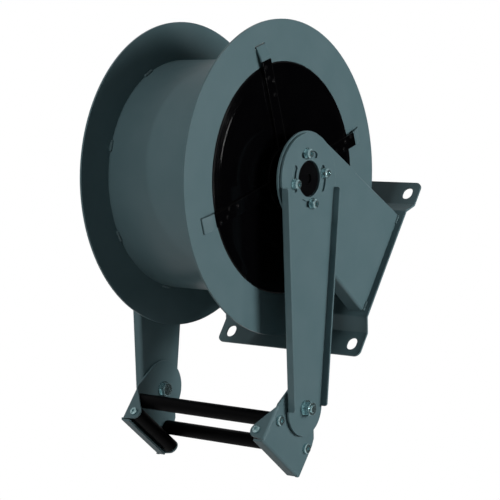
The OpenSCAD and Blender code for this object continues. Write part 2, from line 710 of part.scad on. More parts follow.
// Roller shape about z, from z0 to z1, on a rod of radius r.
module roller(z0, z1, r) rotate_extrude() polygon([[r + running_play, z0], [roller_r - 1, z0],
    [roller_r, z0 + 1], [roller_r, z1 - 1], [roller_r - 1, z1], [r + running_play, z1]]);

module long_roller(y) color(black) at_pivot() translate([drum_mid, y, -long_drop])
    rotate([0, 90, 0]) roller(1 - bracket_in, bracket_in - 1, long_rod_r);

module front_long_roller() long_roller(front_axis);
module rear_long_roller() long_roller(rear_axis);

module short_roller(far) color(black) drum_side(far) at_pivot() translate([short_x, 0, -short_drop])
    rotate([-90, 0, 0]) roller(bracket_t - front_u + 1, rear_u - bracket_t - 1, short_rod_r);

module near_short_roller() short_roller(0);
module far_short_roller() short_roller(1);

// Pawl hanging from its pin, tip in a tooth gap, tail toward the wall for the spring.
module pawl() color(zinc) at_hub() plate_x(wheel_far, wheel_t) difference() {
    union() {
        translate([pawl_y, pawl_z]) circle(r = 9);
        polygon([polar(wheel_r - tooth_h + 2.5, catch_turn + 0.8), polar(wheel_r + 4, catch_turn + 0.6),
            [pawl_y + 8.9, pawl_z - 2], [pawl_y - 8.9, pawl_z + 1], polar(wheel_r + 2, catch_turn + 15)]);
        polygon([[pawl_y, pawl_z - 7], [tail_y + 4, pawl_z - 4], [tail_y + 4, pawl_z + 4], [pawl_y, pawl_z + 8]]);
    }
    translate([pawl_y, pawl_z]) circle(r = pawl_pin_r + running_play);
}

back_plate();
near_cheek();
far_cheek();
cheek_welds();
axle();
near_axle_flange();
far_hub_block();
near_spacer();
hub_cap();
axle_nut();
inlet_fitting();
hub_screws();
hub_washers();
spring_arbor();
pawl_pins();
pawl_spring();
barrel();
near_flange();
far_flange();
flange_welds();
spring_cover();
spring_plate();
main_spring();
near_hub();
far_hub();
far_spider();
hub_bushes();
spoke_1();
spoke_2();
spoke_3();
spoke_4();
strap_1();
strap_2();
strap_3();
strap_4();
spoke_rivets();
ratchet_wheel();
swivel_body();
swivel_seals();
outlet_pipe();
hose_outlet();
near_arm();
far_arm();
pivot_bolts();
pivot_washers();
pivot_nuts();
near_bracket();
far_bracket();
long_rods();
short_rods();
rod_screws();
tab_screws();
front_long_roller();
rear_long_roller();
near_short_roller();
far_short_roller();
pawl();
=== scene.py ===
"""Wall-mounted spring-rewind hose reel, dressed for a studio picture.

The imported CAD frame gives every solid. This script gives each one its real finish and adds
what is too fine for the solids: domed rivets, weld beads, and pivot bolts and nuts with turned
corners and thread ridges. Metres; X runs along the axle and +Y points to the wall.
"""

from __future__ import annotations

import logging
import math
from collections.abc import Iterable
from dataclasses import dataclass
from enum import Enum
from functools import cached_property

import bmesh
import bpy
from mathutils import Matrix, Vector

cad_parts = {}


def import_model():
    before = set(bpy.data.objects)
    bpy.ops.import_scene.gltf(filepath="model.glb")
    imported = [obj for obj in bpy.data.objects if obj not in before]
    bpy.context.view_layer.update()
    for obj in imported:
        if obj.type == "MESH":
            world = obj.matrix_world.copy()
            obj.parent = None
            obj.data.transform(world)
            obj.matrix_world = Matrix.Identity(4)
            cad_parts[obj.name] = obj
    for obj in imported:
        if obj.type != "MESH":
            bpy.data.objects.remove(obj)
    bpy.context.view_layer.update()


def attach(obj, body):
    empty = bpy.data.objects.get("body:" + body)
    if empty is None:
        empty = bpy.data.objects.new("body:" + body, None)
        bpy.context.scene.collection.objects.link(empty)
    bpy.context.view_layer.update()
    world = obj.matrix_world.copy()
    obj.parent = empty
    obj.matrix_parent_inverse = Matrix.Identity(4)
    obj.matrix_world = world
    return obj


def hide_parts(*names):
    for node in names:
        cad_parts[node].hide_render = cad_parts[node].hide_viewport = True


Tree = bpy.types.NodeTree
Node = bpy.types.Node
Socket = bpy.types.NodeSocket

LOG = logging.getLogger("hose_reel")
MM = 0.001
BEVEL_SAMPLES = 4
# A wave texture of scale 1 repeats after this many metres.
WAVE_PERIOD = math.pi / 10

# Places shared with the solids, in millimetres: the axle's line and the drum's middle along it.
HUB_Y = -258.0
DRUM_MID = -9.0


class Body(Enum):
    """The moving bodies that a new piece can ride on."""

    BASE = "base"
    DRUM = "drum"
    ARMS = "guide_arms"


class Slot(Enum):
    """Names of the record's material slots."""

    GREY = "grey_paint"
    BLACK = "black_paint"
    ZINC = "zinc"


def linear(code: str) -> tuple[float, float, float, float]:
    """Turns an sRGB hex colour into linear values.

    Args:
        code: Six hex digits, such as "586F74".

    Returns:
        Linear red, green, blue and an alpha of 1.
    """
    parts = [int(code[i : i + 2], 16) / 255 for i in (0, 2, 4)]
    r, g, b = (c / 12.92 if c <= 0.04045 else ((c + 0.055) / 1.055) ** 2.4 for c in parts)
    return r, g, b, 1.0


def live(sockets: Iterable[Socket], name: str) -> Socket:
    """Finds the socket of a name that is in use, since some nodes keep one for each data type.

    Args:
        sockets: A node's inputs or outputs.
        name: The socket's name.

    Returns:
        The enabled socket, or the first of that name if none is enabled.
    """
    return next((socket for socket in sockets if socket.name == name and socket.enabled), sockets[name])


def add(tree: Tree, kind: str, inputs: dict[str | int, object] | None = None, **settings: object) -> Node:
    """Adds one node, sets it and links it.

    Args:
        tree: The node tree that gets the node.
        kind: The node's Blender type name.
        inputs: Socket name or number to a value, or to the output that feeds it.
        **settings: Attributes of the node.

    Returns:
        The new node.
    """
    node = tree.nodes.new(kind)
    for name, value in settings.items():
        setattr(node, name, value)
    for key, value in (inputs or {}).items():
        socket = live(node.inputs, key) if isinstance(key, str) else node.inputs[key]
        if isinstance(value, Socket):
            tree.links.new(value, socket)
        else:
            socket.default_value = value
    return node


class Surface:
    """A new material with a Principled shader, whose patterns lie on Object coordinates."""

    # A noise seldom leaves this range, so this is the part that a pattern stretches.
    NOISE_LOW = 0.3
    NOISE_HIGH = 0.7

    def __init__(self, name: str, roughness: float, metallic: float = 0.0, specular: float = 0.5) -> None:
        """Makes the material.

        Args:
            name: The finish's name.
            roughness: Value for the shader's own socket.
            metallic: Value for the shader's own socket.
            specular: Value for the shader's own specular level.
        """
        self.material = bpy.data.materials.new(name)
        self.material.use_nodes = True
        self.tree = self.material.node_tree
        self.shader = self.tree.nodes["Principled BSDF"]
        self.shader.inputs["Roughness"].default_value = roughness
        self.shader.inputs["Metallic"].default_value = metallic
        self.shader.inputs["Specular IOR Level"].default_value = specular
        self.place = add(self.tree, "ShaderNodeTexCoord").outputs["Object"]

    def feed(self, name: str, source: Socket) -> None:
        """Links a pattern to one of the shader's sockets."""
        self.tree.links.new(source, self.shader.inputs[name])

    def patches(
        self, size_mm: float, low: float, high: float, detail: float = 2.0, place: Socket | None = None
    ) -> Socket:
        """Makes a value that drifts between two ends in patches.

        Args:
            size_mm: How far across a patch is.
            low: The value at one end.
            high: The value at the other end.
            detail: How many finer layers the patches have.
            place: Coordinates, if they aren't the plain Object ones.

        Returns:
            The value's socket.
        """
        inputs = {"Vector": place or self.place, "Scale": 1.0 / (size_mm * MM), "Detail": detail}
        stretch = {
            "Value": add(self.tree, "ShaderNodeTexNoise", inputs).outputs["Fac"],
            "From Min": self.NOISE_LOW,
            "From Max": self.NOISE_HIGH,
            "To Min": low,
            "To Max": high,
        }
        return add(self.tree, "ShaderNodeMapRange", stretch).outputs["Result"]

    def mottle(
        self, size_mm: float, first: str, second: str, detail: float = 2.0, place: Socket | None = None
    ) -> Socket:
        """Makes a colour that drifts between two shades in patches.

        Args:
            size_mm: How far across a patch is.
            first: Hex colour at one end.
            second: Hex colour at the other end.
            detail: How many finer layers the patches have.
            place: Coordinates, if they aren't the plain Object ones.

        Returns:
            The colour's socket.
        """
        share = self.patches(size_mm, 0.0, 1.0, detail, place)
        shades = {"Factor": share, "A": linear(first), "B": linear(second)}
        return live(add(self.tree, "ShaderNodeMix", shades, data_type="RGBA").outputs, "Result")

    def roughen(
        self,
        size_mm: float,
        height_mm: float,
        detail: float = 2.0,
        place: Socket | None = None,
        normal: Socket | None = None,
    ) -> None:
        """Gives the surface a fine relief of rounded grains.

        Args:
            size_mm: How far across a grain is.
            height_mm: How high a grain stands.
            detail: How many finer layers the grains have.
            place: Coordinates, if they aren't the plain Object ones.
            normal: The normal that the relief stands on, if it isn't the mesh's own.
        """
        inputs = {"Vector": place or self.place, "Scale": 1.0 / (size_mm * MM), "Detail": detail}
        grain = add(self.tree, "ShaderNodeTexNoise", inputs).outputs["Fac"]
        relief = {"Height": grain, "Distance": height_mm * MM, "Strength": 1.0}
        if normal:
            relief["Normal"] = normal
        self.feed("Normal", add(self.tree, "ShaderNodeBump", relief).outputs["Normal"])


@dataclass(frozen=True)
class PowderCoat:
    """Polyester powder, sprayed and baked on sheet steel: a thick skin with a fine orange peel."""

    name: str
    colour: str
    shade: str
    roughness: float
    specular: float = 0.5
    cloud_mm: float = 45.0
    sheen_mm: float = 18.0
    sheen_spread: float = 0.03
    peel_mm: float = 2.6
    peel_height_mm: float = 0.03
    edge_mm: float = 0.7
    # Paler colour along edges: partly wear, partly a painted highlight.
    rub_and_highlight: str = "8A9A9E"
    rub_and_highlight_mm: float = 6.0
    # The least worn patch of an edge has this share of the paler edge, which is partly wear and partly a
    # painted highlight.
    rub_and_highlight_least: float = 0.2
    wear_and_highlight: float = 0.45
    # Cosine between the flat and the rounded normal where the wear and painted highlight start, and where
    # they are full.
    wear_and_highlight_start: float = 0.995
    wear_and_highlight_full: float = 0.9

    def build(self) -> bpy.types.Material:
        """Makes the material.

        Returns:
            The finished material.
        """
        skin = Surface(self.name, self.roughness, specular=self.specular)
        # The powder flows thinner and thicker over some centimetres, which shifts the shade a little.
        paint = skin.mottle(self.cloud_mm, self.shade, self.colour)
        low, high = self.roughness - self.sheen_spread, self.roughness + self.sheen_spread
        skin.feed("Roughness", skin.patches(self.sheen_mm, low, high))
        # Powder rounds every cut edge, so edges catch the light in a thin line.
        rounding = {"Radius": self.edge_mm * MM}
        edge = add(skin.tree, "ShaderNodeBevel", rounding, samples=BEVEL_SAMPLES).outputs["Normal"]
        skin.feed("Base Color", self.worn_and_highlit(skin, paint, edge))
        skin.roughen(self.peel_mm, self.peel_height_mm, detail=1.0, normal=edge)
        return skin.material

    def worn_and_highlit(self, skin: Surface, paint: Socket, edge: Socket) -> Socket:
        """Makes the paint paler along edges in patches: partly wear from handling, partly a painted
        highlight.

        Args:
            skin: The surface.
            paint: The paint's own colour.
            edge: The normal with its edges rounded.

        Returns:
            The colour with its wear.
        """
        flat = add(skin.tree, "ShaderNodeNewGeometry").outputs["Normal"]
        turn = add(skin.tree, "ShaderNodeVectorMath", {0: edge, 1: flat}, operation="DOT_PRODUCT")
        bend = add(
            skin.tree,
            "ShaderNodeMapRange",
            {
                "Value": turn.outputs["Value"],
                "From Min": self.wear_and_highlight_start,
                "From Max": self.wear_and_highlight_full,
                "To Min": 0.0,
                "To Max": self.wear_and_highlight,
            },
        )
        # The paler edge is partly wear and partly a painted highlight, where edges catch the light.
        patchy = {0: bend.outputs["Result"], 1: skin.patches(self.rub_and_highlight_mm, self.rub_and_highlight_least, 1.0)}
        rubbed_and_highlit = add(skin.tree, "ShaderNodeMath", patchy, operation="MULTIPLY").outputs[0]
        shades = {"Factor": rubbed_and_highlit, "A": paint, "B": linear(self.rub_and_highlight)}
        return live(add(skin.tree, "ShaderNodeMix", shades, data_type="RGBA").outputs, "Result")


@dataclass(frozen=True)
class ZincPlate:
    """Bright zinc on turned or pressed steel with fine grain; its teal tint is partly a blue chromate film
    and partly a painted reflection of the teal paint around it.
    """

    name: str = "bright_zinc_plated_steel"
    # Teal tint: partly blue chromate, partly a painted reflection of the surrounding teal paint.
    colour: str = "C9E9EC"
    dull: str = "7A9CA1"
    roughness: float = 0.22
    # The chromate film scatters a little of the light, so the metal isn't a pure mirror.
    metallic: float = 0.9
    film_mm: float = 3.0
    sheen_mm: float = 1.2
    sheen: tuple[float, float] = (0.13, 0.3)
    # The plating's own grain is far finer; it is drawn as coarse as it needs to show.
    grain_mm: float = 0.5
    grain_height_mm: float = 0.004
    edge_mm: float = 0.25

    def build(self) -> bpy.types.Material:
        """Makes the material.

        Returns:
            The finished material.
        """
        skin = Surface(self.name, self.roughness, metallic=self.metallic)
        skin.feed("Base Color", skin.mottle(self.film_mm, self.dull, self.colour, detail=3.0))
        skin.feed("Roughness", skin.patches(self.sheen_mm, *self.sheen))
        rounding = {"Radius": self.edge_mm * MM}
        edge = add(skin.tree, "ShaderNodeBevel", rounding, samples=BEVEL_SAMPLES).outputs["Normal"]
        skin.roughen(self.grain_mm, self.grain_height_mm, normal=edge)
        return skin.material


@dataclass(frozen=True)
class MouldedPlastic:
    """Black moulded nylon: a close satin skin with faint flow marks along the roller."""

    name: str = "moulded_black_nylon"
    colour: str = "060607"
    shade: str = "030304"
    roughness: float = 0.42
    specular: float = 0.05
    # Scale of the flow marks along and across the axle: long streaks along it.
    flow_stretch: tuple[float, float, float] = (0.12, 1.0, 1.0)
    flow_mm: float = 4.0
    sheen_mm: float = 9.0
    sheen: tuple[float, float] = (0.36, 0.48)
    skin_mm: float = 1.0
    skin_height_mm: float = 0.006

    def build(self) -> bpy.types.Material:
        """Makes the material.

        Returns:
            The finished material.
        """
        skin = Surface(self.name, self.roughness, specular=self.specular)
        stretch = {"Vector": skin.place, "Scale": self.flow_stretch}
        flow = add(skin.tree, "ShaderNodeMapping", stretch).outputs["Vector"]
        skin.feed("Base Color", skin.mottle(self.flow_mm, self.shade, self.colour, place=flow))
        skin.feed("Roughness", skin.patches(self.sheen_mm, *self.sheen))
        skin.roughen(self.skin_mm, self.skin_height_mm, place=flow)
        return skin.material


@dataclass(frozen=True)
class TurnedBrass:
    """Brass bar turned on a lathe: fine rings round the axle and a thin brown film."""

    name: str = "turned_brass"
    colour: str = "D8B56A"
    film: str = "A8823F"
    roughness: float = 0.28
    film_mm: float = 8.0
    # Real lathe rings are about 0.2 mm apart; these are drawn coarse enough to show.
    ring_mm: float = 1.5834
    ring_height_mm: float = 0.006
    ring_waver: float = 0.4

    def build(self) -> bpy.types.Material:
        """Makes the material.

        Returns:
            The finished material.
        """
        skin = Surface(self.name, self.roughness, metallic=1.0)
        skin.feed("Base Color", skin.mottle(self.film_mm, self.film, self.colour, detail=3.0))
        scale = WAVE_PERIOD / (self.ring_mm * MM)
        bands = {"Vector": skin.place, "Scale": scale, "Distortion": self.ring_waver}
        rings = add(skin.tree, "ShaderNodeTexWave", bands, bands_direction="X").outputs["Fac"]
        relief = {"Height": rings, "Distance": self.ring_height_mm * MM, "Strength": 1.0}
        skin.feed("Normal", add(skin.tree, "ShaderNodeBump", relief).outputs["Normal"])
        return skin.material


@dataclass(frozen=True)
class SealRubber:
    """Black nitrile rubber, dull with a little bloom."""

    name: str = "nitrile_rubber"
    colour: str = "0D0D0D"
    bloom: str = "1A1A1A"
    roughness: float = 0.7
    specular: float = 0.3
    bloom_mm: float = 1.5

    def build(self) -> bpy.types.Material:
        """Makes the material.

        Returns:
            The finished material.
        """
        skin = Surface(self.name, self.roughness, specular=self.specular)
        skin.feed("Base Color", skin.mottle(self.bloom_mm, self.colour, self.bloom))
        return skin.material


class Finish(Enum):
    """Every finish on the reel."""

    GREY = PowderCoat(
        "grey_powder_coated_steel", colour="586F74", shade="536B70", roughness=0.36, specular=0.3
    )
    # Powder over a weld: the same grey drifting towards a darker tone in patches, and no paler edge from
    # wear or painted highlight.
    WELD = PowderCoat(
        "grey_powder_over_a_weld", colour="586F74", shade="415558", roughness=0.36, specular=0.3, wear_and_highlight=0.0
    )
    BLACK = PowderCoat(
        "black_gloss_powder_coated_steel",
        colour="040405",
        shade="030304",
        roughness=0.1,
        specular=0.12,
        peel_height_mm=0.006,
        edge_mm=1.4,
        # Paler black along edges: partly wear, partly a painted highlight.
        rub_and_highlight="101012",
    )
    ZINC = ZincPlate()
    NYLON = MouldedPlastic()
    BRASS = TurnedBrass()
    RUBBER = SealRubber()

    @property
    def material(self) -> bpy.types.Material:
        """The finish's material, made on first use."""
        return bpy.data.materials.get(self.value.name) or self.value.build()


def dress(nodes: Iterable[str], finish: Finish) -> None:
    """Gives CAD nodes a finish in place of their plain one.

    Args:
        nodes: Names of the CAD nodes.
        finish: The finish they get.
    """
    for name in nodes:
        piece = bpy.data.objects[name]
        if not piece.material_slots:
            piece.data.materials.append(finish.material)
        for holder in piece.material_slots:
            holder.material = finish.material
        LOG.info("%s: %s", name, finish.value.name)


def finished(piece: bpy.types.Object, body: Body, replaced: str | None = None) -> None:
    """Puts a new piece on its body's empty, and hides the CAD node it stands for.

    Args:
        piece: The piece, at the origin and unturned.
        body: The body it rides on.
        replaced: The CAD node that it stands for, if any.
    """
    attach(piece, body.value)
    if replaced:
        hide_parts(replaced)
    LOG.info("%s: %d faces on %s", piece.name, len(piece.data.polygons), body.value)


def placed(mesh: bpy.types.Mesh) -> bpy.types.Object:
    """Puts a mesh into the scene.

    Args:
        mesh: The mesh.

    Returns:
        An object of the mesh's name.
    """
    piece = bpy.data.objects.new(mesh.name, mesh)
    bpy.context.scene.collection.objects.link(piece)
    return piece


def grown(name: str, points: list[Vector], tree: Tree, values: dict[str, object]) -> bpy.types.Object:
    """Sets a tree's shape on points and keeps the result as a plain mesh.

    Args:
        name: The new piece's name.
        points: Where the shapes go, in metres.
        tree: The Geometry Nodes tree that makes them.
        values: The tree's input name to value.

    Returns:
        The piece, with no modifier.
    """
    mesh = bpy.data.meshes.new(name)
    mesh.from_pydata([tuple(point) for point in points], [], [])
    piece = placed(mesh)
    modifier = piece.modifiers.new(tree.name, "NODES")
    modifier.node_group = tree
    ids = {item.name: item.identifier for item in tree.interface.items_tree if item.in_out == "INPUT"}
    for label, value in values.items():
        modifier[ids[label]] = value
    reach = bpy.context.evaluated_depsgraph_get()
    piece_mesh = bpy.data.meshes.new_from_object(piece.evaluated_get(reach))
    piece.modifiers.remove(modifier)
    piece.data = piece_mesh
    piece_mesh.name = name
    return piece


class Trees:
    """The Geometry Nodes trees that make repeated parts, each built on first use."""

    DOME_SEGMENTS = 18
    DOME_RINGS = 9
    COIL_STEPS = 24

    @staticmethod
    def started(name: str, sockets: list[tuple[str, str, object]]) -> tuple[Tree, Node]:
        """Starts a tree with named inputs and a material.

        Args:
            name: Name of the tree.
            sockets: Name, socket type and default of each input between geometry and material.

        Returns:
            The tree and its input node.
        """
        tree = bpy.data.node_groups.new(name, "GeometryNodeTree")
        tree.interface.new_socket("Geometry", in_out="INPUT", socket_type="NodeSocketGeometry")
        for label, kind, default in sockets:
            tree.interface.new_socket(label, in_out="INPUT", socket_type=kind).default_value = default
        tree.interface.new_socket("Material", in_out="INPUT", socket_type="NodeSocketMaterial")
        tree.interface.new_socket("Geometry", in_out="OUTPUT", socket_type="NodeSocketGeometry")
        return tree, add(tree, "NodeGroupInput")

    @staticmethod
    def ended(tree: Tree, entry: Node, shape: Socket) -> Tree:
        """Ends a tree in Realize Instances, Set Shade Smooth and Set Material.

        Args:
            tree: The tree.
            entry: Its input node.
            shape: The geometry to end on.

        Returns:
            The tree.
        """
        real = add(tree, "GeometryNodeRealizeInstances", {"Geometry": shape})
        smooth = add(tree, "GeometryNodeSetShadeSmooth", {"Geometry": real.outputs[0]})
        coat = {"Geometry": smooth.outputs[0], "Material": entry.outputs["Material"]}
        done = add(tree, "GeometryNodeSetMaterial", coat)
        add(tree, "NodeGroupOutput", {0: done.outputs[0]})
        return tree

    @cached_property
    def domes(self) -> Tree:
        """Makes the tree that sets a flattened round head on every point.

        Returns:
            The tree, whose heads can differ a little in size.
        """
        tree, entry = self.started(
            "domed_heads",
            [
                ("Radius", "NodeSocketFloat", 0.003),
                ("Flatten", "NodeSocketVector", (1.0, 1.0, 1.0)),
                ("Spread", "NodeSocketFloat", 0.0),
                ("Seed", "NodeSocketInt", 7),
            ],
        )
        ball = add(
            tree,
            "GeometryNodeMeshUVSphere",
            {"Segments": self.DOME_SEGMENTS, "Rings": self.DOME_RINGS, "Radius": entry.outputs["Radius"]},
        )
        spread = entry.outputs["Spread"]
        low = add(tree, "ShaderNodeMath", {0: 1.0, 1: spread}, operation="SUBTRACT").outputs[0]
        high = add(tree, "ShaderNodeMath", {0: 1.0, 1: spread}, operation="ADD").outputs[0]
        between = {2: low, 3: high, "Seed": entry.outputs["Seed"]}
        size = add(tree, "FunctionNodeRandomValue", between, data_type="FLOAT").outputs[1]
        squeeze = {0: entry.outputs["Flatten"], "Scale": size}
        scale = add(tree, "ShaderNodeVectorMath", squeeze, operation="SCALE").outputs[0]
        heads = add(
            tree,
            "GeometryNodeInstanceOnPoints",
            {"Points": entry.outputs["Geometry"], "Instance": ball.outputs["Mesh"], "Scale": scale},
        )
        return self.ended(tree, entry, heads.outputs[0])

    @cached_property
    def coil(self) -> Tree:
        """Makes the tree that winds a thread ridge from every point.

        Returns:
            The tree, whose ridges are wound round Z and then turned to lie along their bolts.
        """
        tree, entry = self.started(
            "wound_coil",
            [
                ("Coil Radius", "NodeSocketFloat", 0.006),
                ("Wire Radius", "NodeSocketFloat", 0.0004),
                ("Turns", "NodeSocketFloat", 6.0),
                ("Length", "NodeSocketFloat", 0.008),
                ("Turn", "NodeSocketVector", (0.0, 0.0, 0.0)),
                ("Sides", "NodeSocketInt", 6),
            ],
        )
        path = add(
            tree,
            "GeometryNodeCurveSpiral",
            {
                "Resolution": self.COIL_STEPS,
                "Rotations": entry.outputs["Turns"],
                "Start Radius": entry.outputs["Coil Radius"],
                "End Radius": entry.outputs["Coil Radius"],
                "Height": entry.outputs["Length"],
            },
        )
        wire = add(
            tree,
            "GeometryNodeCurvePrimitiveCircle",
            {"Resolution": entry.outputs["Sides"], "Radius": entry.outputs["Wire Radius"]},
        )
        ridge = add(
            tree,
            "GeometryNodeCurveToMesh",
            {"Curve": path.outputs[0], "Profile Curve": wire.outputs[0], "Fill Caps": True},
        )
        coils = add(
            tree,
            "GeometryNodeInstanceOnPoints",
            {"Points": entry.outputs["Geometry"], "Instance": ridge.outputs[0]},
        )
        turned = add(
            tree,
            "GeometryNodeRotateInstances",
            {"Instances": coils.outputs[0], "Rotation": entry.outputs["Turn"], "Local Space": True},
        )
        return self.ended(tree, entry, turned.outputs[0])


def mesh_piece(name: str, shape: bmesh.types.BMesh) -> bpy.types.Object:
    """Turns a bmesh into an object with its faces pointing outwards.

    Args:
        name: The new piece's name.
        shape: The bmesh in millimetres, which is freed.

    Returns:
        The piece in metres.
    """
    bmesh.ops.scale(shape, vec=(MM, MM, MM), verts=shape.verts)
    bmesh.ops.recalc_face_normals(shape, faces=shape.faces)
    mesh = bpy.data.meshes.new(name)
    shape.to_mesh(mesh)
    shape.free()
    return placed(mesh)


def bridge(shape: bmesh.types.BMesh, rings: list[list[bmesh.types.BMVert]]) -> None:
    """Joins each ring of points to the next with four-sided faces.

    Args:
        shape: The bmesh that holds the points.
        rings: Closed rings with as many points in each.
    """
    for low, high in zip(rings, rings[1:]):
        for k in range(len(low)):
            n = (k + 1) % len(low)
            shape.faces.new((low[k], low[n], high[n], high[k]))


class Ring(Enum):
    """Which rings a hexagon's profile is made of."""

    BORE = "round hole"
    FACE = "turned end face"
    SIDE = "six flats"


@dataclass(frozen=True)
class Hexagon:
    """A hexagon head or nut along X with its outer corners turned off, in mm and degrees."""

    flats: float
    height: float
    bore: float = 0.0
    # How far round from Y the first corner points, as the nut stands in the photograph.
    turn: float = 86.4
    chamfer: float = 30.0
    face_share: float = 0.96
    steps: int = 48

    def radius(self, ring: Ring, angle: float) -> float:
        """Finds how far a ring is from the hexagon's axis.

        Args:
            ring: The ring.
            angle: Angle from a corner, in radians.

        Returns:
            The radius.
        """
        if ring is Ring.BORE:
            return self.bore
        if ring is Ring.FACE:
            return self.flats / 2 * self.face_share
        return self.flats / 2 / math.cos(math.fmod(angle, math.pi / 3) - math.pi / 6)

    def point(self, ring: Ring, rise: float, angle: float, side: int) -> Vector:
        """Finds one point of a ring.

        Args:
            ring: The ring.
            rise: Height above the seat.
            angle: Angle from a corner, in radians.
            side: 1 or -1, the way along X that the hexagon stands up.

        Returns:
            The point, from the middle of the seat.
        """
        r = self.radius(ring, angle)
        if ring is Ring.SIDE and rise:
            rise -= (r - self.radius(Ring.FACE, 0.0)) * math.tan(math.radians(self.chamfer))
        spin = angle + math.radians(self.turn)
        return Vector((side * rise, r * math.cos(spin), r * math.sin(spin)))

    def build(self, shape: bmesh.types.BMesh, seat: Vector, side: int) -> None:
        """Adds one hexagon.

        Args:
            shape: The bmesh it goes into.
            seat: Middle of the face it stands on.
            side: 1 or -1, the way along X that it stands up.
        """
        profile = [(Ring.SIDE, 0.0), (Ring.SIDE, self.height), (Ring.FACE, self.height)]
        if self.bore:
            profile = [(Ring.BORE, 0.0), *profile, (Ring.BORE, self.height)]
        angles = [2 * math.pi * k / self.steps for k in range(self.steps)]
        rings = [
            [shape.verts.new(seat + self.point(ring, rise, angle, side)) for angle in angles]
            for ring, rise in profile
        ]
        bridge(shape, [*rings, rings[0]] if self.bore else rings)
        if not self.bore:
            shape.faces.new(rings[0])
            shape.faces.new(rings[-1])


@dataclass(frozen=True)
class Rod:
    """A closed round rod along X with a small cone at its far end, in mm."""

    radius: float
    tip: float = 0.8
    steps: int = 32

    def build(self, shape: bmesh.types.BMesh, start: Vector, end_x: float) -> None:
        """Adds one rod.

        Args:
            shape: The bmesh it goes into.
            start: Middle of its plain end.
            end_x: Where its coned end is along X.
        """
        side = 1 if end_x > start.x else -1
        turns = [2 * math.pi * k / self.steps for k in range(self.steps)]
        profile = (
            (start.x, self.radius),
            (end_x - side * self.tip, self.radius),
            (end_x, self.radius - self.tip),
        )
        rings = [
            [shape.verts.new((x, start.y + r * math.cos(a), start.z + r * math.sin(a))) for a in turns]
            for x, r in profile
        ]
        bridge(shape, rings)
        shape.faces.new(rings[0])
        shape.faces.new(rings[-1])


@dataclass
class Base:
    """Wall plate, cheeks, fixed axle and what is bolted to them; sizes in mm."""

    trees: Trees
    grey: tuple[str, ...] = ("back_plate", "near_cheek", "far_cheek", "cheek_welds", "near_spacer")
    zinc: tuple[str, ...] = (
        "axle", "near_axle_flange", "far_hub_block", "axle_nut", "hub_screws", "hub_washers",
        "spring_arbor", "pawl_pins", "pawl_spring", "pawl",
    )
    cheek_x: float = 126.8
    plate_y: float = -18.5
    weld_z: float = 70.8
    bead_step: float = 1.5
    bead_count: int = 10
    bead_r: float = 2.0
    bead_spread: float = 0.1

    def build(self) -> None:
        """Dresses the base's solids and welds its cheeks."""
        dress(self.grey, Finish.GREY)
        dress(self.zinc, Finish.ZINC)
        dress(("hub_cap",), Finish.NYLON)
        dress(("inlet_fitting",), Finish.BRASS)
        self.add_weld_beads()

    def add_weld_beads(self) -> None:
        """Rows of overlapping weld ripples where the cheeks meet the plate."""
        places = [
            Vector((side * self.cheek_x, self.plate_y, end * (self.weld_z + self.bead_step * k))) * MM
            for side in (-1, 1)
            for end in (-1, 1)
            for k in range(self.bead_count)
        ]
        values = {"Radius": self.bead_r * MM, "Spread": self.bead_spread, "Material": Finish.WELD.material}
        piece = grown("cheek_weld_beads", places, self.trees.domes, values)
        finished(piece, Body.BASE, "cheek_welds")


